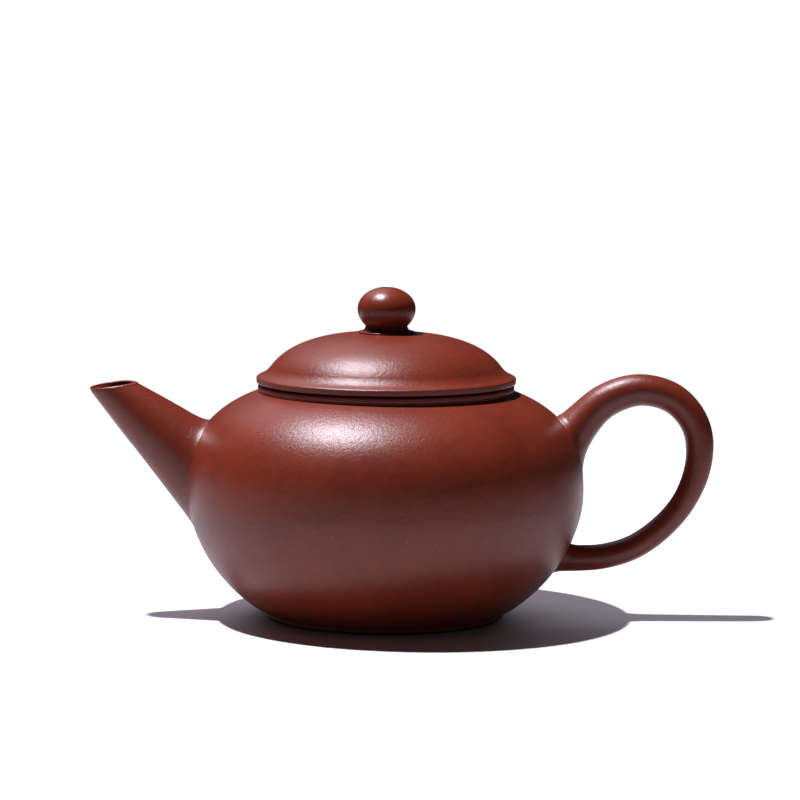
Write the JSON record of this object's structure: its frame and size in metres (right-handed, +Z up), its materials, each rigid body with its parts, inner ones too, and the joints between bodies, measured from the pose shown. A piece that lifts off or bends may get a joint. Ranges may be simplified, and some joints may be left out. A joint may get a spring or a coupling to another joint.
{
  "type": "yixing clay teapot",
  "caption": "Small round-bodied teapot of unglazed red clay with a straight conical spout, ear-shaped handle, foot ring and loose domed lid with a ball knob.",
  "frame": {"origin": "on the table, under the middle of the pot's whole length from spout tip to handle", "axes": "+Z up along the lid's lift, +X towards the handle, -X towards the spout, Y across the pot"},
  "size_m": [0.1196, 0.076, 0.0631],
  "materials": {
    "body_clay": "unglazed, burnished satin",
    "lid_clay": "unglazed, burnished satin, a little grainier",
    "inner_clay": "unglazed, matt",
    "foot_clay": "unglazed, satin, rubbed at the bottom"
  },
  "bodies": {
    "pot": {"body_wall": "body_clay", "base_disc": "inner_clay", "mouth_disc": "inner_clay", "foot_ring": "foot_clay", "neck_ring": "body_clay", "spout": "body_clay", "strainer": "inner_clay", "handle": "body_clay"},
    "lid": {"lid_rim": "lid_clay", "lid_dome": "lid_clay", "lid_wall": "inner_clay", "knob_collar": "lid_clay", "knob": "lid_clay"}
  },
  "joints": [
    {"name": "lid_lift", "type": "slide", "parent": "pot", "child": "lid", "axis": [0, 0, 1], "range_m": [0, 0.035]}
  ]
}
